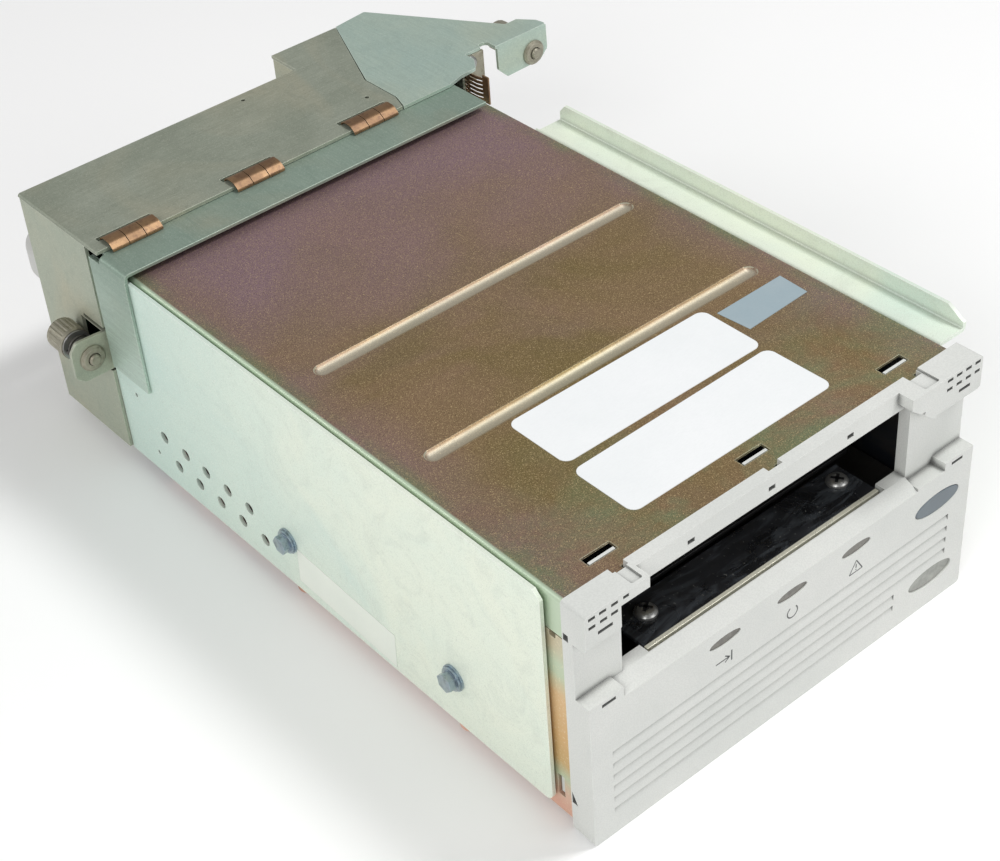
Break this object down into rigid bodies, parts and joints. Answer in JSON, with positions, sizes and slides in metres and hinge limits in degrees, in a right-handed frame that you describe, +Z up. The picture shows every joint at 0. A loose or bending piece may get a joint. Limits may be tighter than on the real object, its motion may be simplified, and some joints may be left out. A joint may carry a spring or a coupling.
{
  "type": "data tape drive",
  "caption": "Full-height front-loading tape drive with a bezel and cartridge mouth, carried on a sheet-metal library sled with a rear electronics housing and sprung captive screws.",
  "frame": {"origin": "centre of the rectangle of mounting holes in the underside of the drive, on the underside", "axes": "+Z up, -Y out of the bezel towards the operator, +Y to the rear housing, +X to the right seen from the front"},
  "size_m": [0.2087, 0.2942, 0.0896],
  "materials": {
    "bezel_plastic": "light grey fine-textured moulded plastic",
    "button_plastic": "blue-grey moulded plastic",
    "window_clear": "pale translucent plastic",
    "window_smoke": "smoked translucent plastic",
    "cover_zinc": "yellow chromate zinc on steel",
    "chassis_zinc": "pale chromate on cast aluminium",
    "sled_zinc": "pale blue-green zinc on steel",
    "lid_zinc": "grey-green weathered zinc on steel",
    "bridge_zinc": "blue-green zinc on steel",
    "paper": "white label stock, blank",
    "foil": "silver-blue label stock, blank",
    "clear_label": "thin pale label stock, blank",
    "black_steel": "black painted steel",
    "steel": "bright steel",
    "blue_zinc": "bright blue zinc on steel",
    "board_green": "green circuit board with soldered parts",
    "black_plastic": "black moulded plastic",
    "white_plastic": "natural acetal",
    "copper": "beryllium copper",
    "beige_zinc": "dull zinc on steel",
    "grey_plastic": "light grey moulded plastic",
    "dark_metal": "dull plated steel"
  },
  "bodies": {
    "drive_and_sled": {"bezel": "bezel_plastic", "status_window": "window_clear", "led_windows": "window_smoke", "top_cover": "cover_zinc", "label_main": "paper", "label_serial": "paper", "label_foil": "foil", "base_chassis": "chassis_zinc", "deck_plate": "steel", "mouth_floor_plate": "black_steel", "floor_plate_screws": "steel", "load_motor": "dark_metal", "supply_motor": "dark_metal", "take_up_motor": "dark_metal", "roller_posts": "steel", "head_stepper": "dark_metal", "head_guide_rods": "steel", "main_board": "board_green", "left_side_plate": "sled_zinc", "right_side_plate": "bridge_zinc", "side_screws": "blue_zinc", "lock_washers": "blue_zinc", "side_label": "clear_label", "rear_box_shell": "lid_zinc", "rear_lid": "lid_zinc", "rear_top_plate": "bridge_zinc", "front_bridge": "bridge_zinc", "emi_clips": "copper", "finger_strip": "copper", "corner_bracket": "beige_zinc", "bracket_screw": "steel", "captive_spring_left": "steel", "captive_spring_right": "steel", "captive_bushes": "dark_metal", "interface_board": "board_green", "data_connectors": "black_plastic", "power_connector": "black_plastic", "fan_frame": "black_plastic", "fan_guard": "steel", "rear_handle": "grey_plastic", "handle_screws": "steel"},
    "eject_button": {"eject_button": "button_plastic"},
    "load_gear": {"load_gear": "white_plastic"},
    "cam_slider": {"cam_slider": "white_plastic"},
    "receiver": {"receiver": "black_steel"},
    "supply_hub": {"supply_hub": "white_plastic"},
    "take_up_reel": {"take_up_reel": "black_plastic"},
    "guide_roller_1": {"guide_roller_1": "steel"},
    "guide_roller_2": {"guide_roller_2": "steel"},
    "guide_roller_3": {"guide_roller_3": "steel"},
    "guide_roller_4": {"guide_roller_4": "steel"},
    "head_screw": {"head_screw": "steel"},
    "head_carriage": {"head_carriage": "white_plastic", "tape_head": "steel"},
    "fan_rotor": {"fan_rotor": "black_plastic"},
    "captive_slide_left": {"captive_washer_left": "steel"},
    "captive_screw_left": {"captive_screw_left": "dark_metal"},
    "captive_slide_right": {"captive_washer_right": "steel"},
    "captive_screw_right": {"captive_screw_right": "dark_metal"}
  },
  "joints": [
    {"name": "eject_press", "type": "slide", "parent": "drive_and_sled", "child": "eject_button", "axis": [0, 1, 0], "range_m": [0, 0.0015], "stiffness_N_per_m": 400},
    {"name": "load_gear_turn", "type": "hinge", "parent": "drive_and_sled", "child": "load_gear", "pos_m": [0.059, 0.05298, 0.041], "axis": [-1, 0, 0], "range_deg": [0, 95.5]},
    {"name": "cam_slider_travel", "type": "slide", "parent": "drive_and_sled", "child": "cam_slider", "axis": [0, 1, 0], "range_m": [0, 0.012]},
    {"name": "receiver_drop", "type": "slide", "parent": "drive_and_sled", "child": "receiver", "axis": [0, 0, -1], "range_m": [0, 0.004]},
    {"name": "supply_spin", "type": "hinge", "parent": "drive_and_sled", "child": "supply_hub", "pos_m": [-0.00365, -0.02902, 0.04], "axis": [0, 0, 1], "continuous": true},
    {"name": "take_up_spin", "type": "hinge", "parent": "drive_and_sled", "child": "take_up_reel", "pos_m": [0.018, 0.07097, 0.05], "axis": [0, 0, 1], "continuous": true},
    {"name": "roller_1_spin", "type": "hinge", "parent": "drive_and_sled", "child": "guide_roller_1", "pos_m": [-0.034, 0.03397, 0.049], "axis": [0, 0, 1], "continuous": true},
    {"name": "roller_2_spin", "type": "hinge", "parent": "drive_and_sled", "child": "guide_roller_2", "pos_m": [-0.052, 0.04297, 0.049], "axis": [0, 0, 1], "continuous": true},
    {"name": "roller_3_spin", "type": "hinge", "parent": "drive_and_sled", "child": "guide_roller_3", "pos_m": [-0.052, 0.07898, 0.049], "axis": [0, 0, 1], "continuous": true},
    {"name": "roller_4_spin", "type": "hinge", "parent": "drive_and_sled", "child": "guide_roller_4", "pos_m": [-0.03, 0.09098, 0.049], "axis": [0, 0, 1], "continuous": true},
    {"name": "head_screw_turn", "type": "hinge", "parent": "drive_and_sled", "child": "head_screw", "pos_m": [-0.032, 0.06098, 0.045], "axis": [0, 0, 1], "range_deg": [0, 1441]},
    {"name": "head_lift", "type": "slide", "parent": "drive_and_sled", "child": "head_carriage", "axis": [0, 0, 1], "range_m": [0, 0.006]},
    {"name": "fan_spin", "type": "hinge", "parent": "drive_and_sled", "child": "fan_rotor", "pos_m": [0.0579, 0.18297, 0.045], "axis": [0, 1, 0], "continuous": true},
    {"name": "captive_push_left", "type": "slide", "parent": "drive_and_sled", "child": "captive_slide_left", "axis": [0, -1, 0], "range_m": [0, 0.0035], "stiffness_N_per_m": 500, "deforming": ["captive_spring_left"]},
    {"name": "captive_turn_left", "type": "hinge", "parent": "captive_slide_left", "child": "captive_screw_left", "pos_m": [-0.0821, 0.13947, 0.0447], "axis": [0, 1, 0], "continuous": true},
    {"name": "captive_push_right", "type": "slide", "parent": "drive_and_sled", "child": "captive_slide_right", "axis": [0, -1, 0], "range_m": [0, 0.0035], "stiffness_N_per_m": 500, "deforming": ["captive_spring_right"]},
    {"name": "captive_turn_right", "type": "hinge", "parent": "captive_slide_right", "child": "captive_screw_right", "pos_m": [0.1126, 0.14178, 0.0773], "axis": [0, 1, 0], "continuous": true}
  ],
  "couplings": [
    {"joint": "cam_slider_travel", "follows": "receiver_drop", "ratio": 3},
    {"joint": "load_gear_turn", "follows": "receiver_drop", "rad_per_m": 416.67},
    {"joint": "head_screw_turn", "follows": "head_lift", "rad_per_m": 4188.8}
  ]
}
